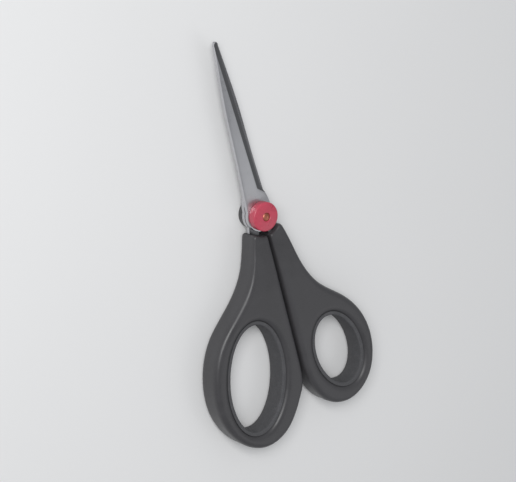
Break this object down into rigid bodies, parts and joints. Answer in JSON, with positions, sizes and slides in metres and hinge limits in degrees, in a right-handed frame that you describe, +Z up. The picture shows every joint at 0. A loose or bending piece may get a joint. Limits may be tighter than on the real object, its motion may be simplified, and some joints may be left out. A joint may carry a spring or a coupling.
{
  "type": "office scissors",
  "caption": "Small office scissors with slim blunt-tipped steel blades, dark moulded handles with soft-lined loops and a round red pivot cap; the blades swing open on a rivet.",
  "frame": {"origin": "the pivot axis where it meets the surface that the scissors lie on, the centre of the rear cap's flat face", "axes": "+Y from the pivot to the blade tips, +Z up through the front half along the pivot, +X to the right towards the thumb loop with the tips away from the viewer"},
  "size_m": [0.0715, 0.1467, 0.0104],
  "materials": {
    "blade_steel": "fine ground stainless steel",
    "handle_plastic": "satin moulded ABS",
    "liner_rubber": "matte soft-touch elastomer",
    "cap_plastic": "semi-gloss red moulded plastic",
    "rear_cap_plastic": "satin moulded ABS",
    "rivet_steel": "plated steel",
    "rivet_plating": "steel with dull copper-coloured plating",
    "washer_nylon": "natural nylon"
  },
  "bodies": {
    "finger_half": {"finger_handle": "handle_plastic", "finger_liner": "liner_rubber", "rear_blade": "blade_steel", "pivot_rivet": "rivet_plating", "pivot_cap": "cap_plastic", "rear_cap": "rear_cap_plastic", "blade_washer": "washer_nylon", "thrust_washer": "rivet_steel"},
    "thumb_half": {"thumb_handle": "handle_plastic", "thumb_liner": "liner_rubber", "front_blade": "blade_steel"}
  },
  "joints": [
    {"name": "blade_pivot", "type": "hinge", "parent": "finger_half", "child": "thumb_half", "pos_m": [0, 0, 0.005], "axis": [0, 0, 1], "range_deg": [0, 90]}
  ]
}
